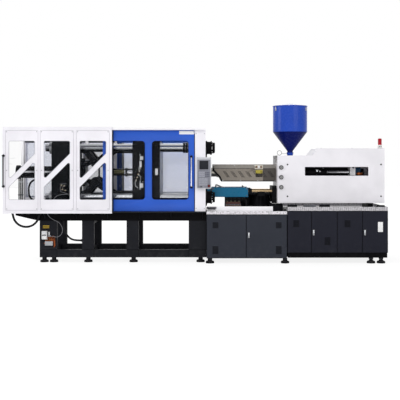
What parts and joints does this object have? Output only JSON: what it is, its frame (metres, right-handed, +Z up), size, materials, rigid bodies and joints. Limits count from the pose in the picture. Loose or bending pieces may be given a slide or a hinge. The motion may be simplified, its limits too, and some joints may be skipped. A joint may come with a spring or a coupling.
{
  "type": "injection moulding machine",
  "caption": "Horizontal injection moulding machine: double-toggle clamp behind sliding guards, platens on tie bars, and a carriage with barrel, housing and hopper on cabinets.",
  "frame": {"origin": "on the floor, in the middle of the machine's length and width", "axes": "+X from the clamp end to the injection end, the operator's side faces -Y, +Z up"},
  "size_m": [7.71, 1.92, 3.252],
  "materials": {
    "frame_black": "satin",
    "beam_black": "satin",
    "rubber_black": "matt",
    "platen_black": "satin",
    "bar_steel": "ground",
    "link_black": "satin",
    "guard_white": "satin",
    "door_blue": "satin",
    "clear_pane": "clear",
    "panel_grey": "satin",
    "stop_red": "gloss",
    "cabinet_dark": "satin",
    "latch_silver": "satin",
    "tread_plate": "patterned",
    "machine_teal": "satin",
    "housing_white": "satin",
    "hopper_blue": "satin",
    "cover_beige": "satin",
    "lamp_red": "gloss",
    "lubricator_white": "satin",
    "cable_grey": "matt",
    "motor_grey": "satin"
  },
  "bodies": {
    "bed": {"bed_frame": "frame_black", "top_beams": "beam_black", "levelling_feet": "rubber_black", "fixed_platen": "platen_black", "tie_bars": "bar_steel", "tie_bar_nuts": "platen_black", "guard_rails": "panel_grey", "column_covers": "guard_white", "rear_guard": "guard_white", "control_box": "panel_grey", "drive_cabinet": "cabinet_dark", "power_cabinet": "cabinet_dark", "drip_trays": "tread_plate", "pump_set": "motor_grey", "electric_panel": "panel_grey", "carriage_rods": "bar_steel", "valve_block": "motor_grey", "seat_cylinders": "machine_teal", "lubricator": "lubricator_white", "conduit_hose": "rubber_black", "lubricator_cable": "cable_grey", "bay_hose": "rubber_black"},
    "tail": {"tail_platen": "platen_black", "clamp_cylinder": "platen_black", "clamp_hose": "rubber_black"},
    "moving_half": {"moving_platen": "platen_black", "ejector_unit": "link_black"},
    "front_door": {"front_door": "door_blue", "front_door_panes": "clear_pane"},
    "carriage": {"carriage_base": "frame_black", "barrel": "bar_steel", "barrel_cover": "cover_beige", "injection_housing": "housing_white", "hopper": "hopper_blue", "warning_lamp": "lamp_red", "injection_cylinders": "motor_grey"},
    "stop_button": {"stop_button": "stop_red"},
    "toggle_guard": {"toggle_guard": "guard_white"},
    "crosshead": {"crosshead": "link_black"},
    "rear_link_upper": {"rear_link_upper": "link_black"},
    "rear_link_lower": {"rear_link_lower": "link_black"},
    "front_link_upper": {"front_link_upper": "link_black"},
    "front_link_lower": {"front_link_lower": "link_black"},
    "cross_link_upper": {"cross_link_upper": "link_black"},
    "cross_link_lower": {"cross_link_lower": "link_black"},
    "ejector_plate": {"ejector_plate": "bar_steel"},
    "rear_door": {"rear_door": "door_blue"},
    "hopper_lid": {"hopper_lid": "hopper_blue"},
    "feed_gate": {"feed_gate": "bar_steel"},
    "drive_beam": {"drive_beam": "motor_grey"},
    "screw": {"screw": "bar_steel"},
    "drive_door_left": {"drive_door_left": "cabinet_dark"},
    "drive_door_right": {"drive_door_right": "cabinet_dark"},
    "power_door_1": {"power_door_1": "cabinet_dark"},
    "power_door_2": {"power_door_2": "cabinet_dark"},
    "power_door_3": {"power_door_3": "cabinet_dark"},
    "power_door_4": {"power_door_4": "cabinet_dark"},
    "drive_latch": {"drive_latch": "latch_silver"},
    "power_latch_left": {"power_latch_left": "latch_silver"},
    "power_latch_right": {"power_latch_right": "latch_silver"}
  },
  "joints": [
    {"name": "mould_height_slide", "type": "slide", "parent": "bed", "child": "tail", "axis": [1, 0, 0], "range_m": [-0.08, 0.2]},
    {"name": "platen_slide", "type": "slide", "parent": "tail", "child": "moving_half", "axis": [1, 0, 0], "range_m": [0, 0.19]},
    {"name": "rear_link_upper_pivot", "type": "hinge", "parent": "tail", "child": "rear_link_upper", "pos_m": [-2.31, 0, 2.295], "axis": [0, -1, 0], "range_deg": [0, 30.46]},
    {"name": "rear_link_lower_pivot", "type": "hinge", "parent": "tail", "child": "rear_link_lower", "pos_m": [-2.31, 0, 1.335], "axis": [0, 1, 0], "range_deg": [0, 30.46]},
    {"name": "front_link_upper_pivot", "type": "hinge", "parent": "moving_half", "child": "front_link_upper", "pos_m": [-1.7, 0, 2.295], "axis": [0, 1, 0], "range_deg": [0, 21.82]},
    {"name": "front_link_lower_pivot", "type": "hinge", "parent": "moving_half", "child": "front_link_lower", "pos_m": [-1.7, 0, 1.335], "axis": [0, -1, 0], "range_deg": [0, 21.82]},
    {"name": "crosshead_slide", "type": "slide", "parent": "tail", "child": "crosshead", "axis": [1, 0, 0], "range_m": [0, 0.2148]},
    {"name": "cross_link_upper_pivot", "type": "hinge", "parent": "crosshead", "child": "cross_link_upper", "pos_m": [-2.36806, 0, 1.945], "axis": [0, -1, 0], "range_deg": [0, 39.34]},
    {"name": "cross_link_lower_pivot", "type": "hinge", "parent": "crosshead", "child": "cross_link_lower", "pos_m": [-2.36806, 0, 1.685], "axis": [0, 1, 0], "range_deg": [0, 39.34]},
    {"name": "ejector_slide", "type": "slide", "parent": "moving_half", "child": "ejector_plate", "axis": [1, 0, 0], "range_m": [0, 0.15]},
    {"name": "toggle_guard_slide", "type": "slide", "parent": "bed", "child": "toggle_guard", "axis": [1, 0, 0], "range_m": [0, 1.1]},
    {"name": "front_door_slide", "type": "slide", "parent": "bed", "child": "front_door", "axis": [-1, 0, 0], "range_m": [0, 1.05]},
    {"name": "rear_door_slide", "type": "slide", "parent": "bed", "child": "rear_door", "axis": [-1, 0, 0], "range_m": [0, 1.05]},
    {"name": "stop_button_press", "type": "slide", "parent": "bed", "child": "stop_button", "axis": [0, 1, 0], "range_m": [0, 0.006], "stiffness_N_per_m": 900},
    {"name": "drive_door_left_hinge", "type": "hinge", "parent": "bed", "child": "drive_door_left", "pos_m": [0.227, -0.8645, 0.5], "axis": [0, 0, -1], "range_deg": [0, 110]},
    {"name": "drive_door_right_hinge", "type": "hinge", "parent": "bed", "child": "drive_door_right", "pos_m": [1.827, -0.8645, 0.5], "axis": [0, 0, 1], "range_deg": [0, 90]},
    {"name": "power_door_1_hinge", "type": "hinge", "parent": "bed", "child": "power_door_1", "pos_m": [1.849, -0.8645, 0.6], "axis": [0, 0, -1], "range_deg": [0, 85]},
    {"name": "power_door_2_hinge", "type": "hinge", "parent": "bed", "child": "power_door_2", "pos_m": [2.832, -0.8645, 0.6], "axis": [0, 0, 1], "range_deg": [0, 85]},
    {"name": "power_door_3_hinge", "type": "hinge", "parent": "bed", "child": "power_door_3", "pos_m": [2.846, -0.8645, 0.6], "axis": [0, 0, -1], "range_deg": [0, 85]},
    {"name": "power_door_4_hinge", "type": "hinge", "parent": "bed", "child": "power_door_4", "pos_m": [3.849, -0.8645, 0.6], "axis": [0, 0, 1], "range_deg": [0, 110]},
    {"name": "drive_latch_turn", "type": "hinge", "parent": "drive_door_right", "child": "drive_latch", "pos_m": [1.067, -0.86, 0.564], "axis": [0, 1, 0], "range_deg": [0, 90]},
    {"name": "power_latch_left_turn", "type": "hinge", "parent": "power_door_2", "child": "power_latch_left", "pos_m": [2.365, -0.86, 0.616], "axis": [0, 1, 0], "range_deg": [0, 90]},
    {"name": "power_latch_right_turn", "type": "hinge", "parent": "power_door_4", "child": "power_latch_right", "pos_m": [3.393, -0.86, 0.616], "axis": [0, 1, 0], "range_deg": [0, 90]},
    {"name": "carriage_slide", "type": "slide", "parent": "bed", "child": "carriage", "axis": [1, 0, 0], "range_m": [0, 0.35]},
    {"name": "hopper_lid_lift", "type": "slide", "parent": "carriage", "child": "hopper_lid", "axis": [0, 0, 1], "range_m": [0, 0.4]},
    {"name": "feed_gate_slide", "type": "slide", "parent": "carriage", "child": "feed_gate", "axis": [1, 0, 0], "range_m": [0, 0.095]},
    {"name": "injection_slide", "type": "slide", "parent": "carriage", "child": "drive_beam", "axis": [-1, 0, 0], "range_m": [0, 0.3]},
    {"name": "screw_turn", "type": "hinge", "parent": "drive_beam", "child": "screw", "pos_m": [3.18, 0, 1.815], "axis": [1, 0, 0], "continuous": true}
  ],
  "couplings": [
    {"joint": "crosshead_slide", "follows": "platen_slide", "ratio": 1.1254},
    {"joint": "rear_link_upper_pivot", "follows": "platen_slide", "rad_per_m": 2.7792},
    {"joint": "front_link_upper_pivot", "follows": "platen_slide", "rad_per_m": 1.986},
    {"joint": "cross_link_upper_pivot", "follows": "platen_slide", "rad_per_m": 3.5951},
    {"joint": "rear_link_lower_pivot", "follows": "platen_slide", "rad_per_m": 2.7792},
    {"joint": "front_link_lower_pivot", "follows": "platen_slide", "rad_per_m": 1.986},
    {"joint": "cross_link_lower_pivot", "follows": "platen_slide", "rad_per_m": 3.5951}
  ]
}
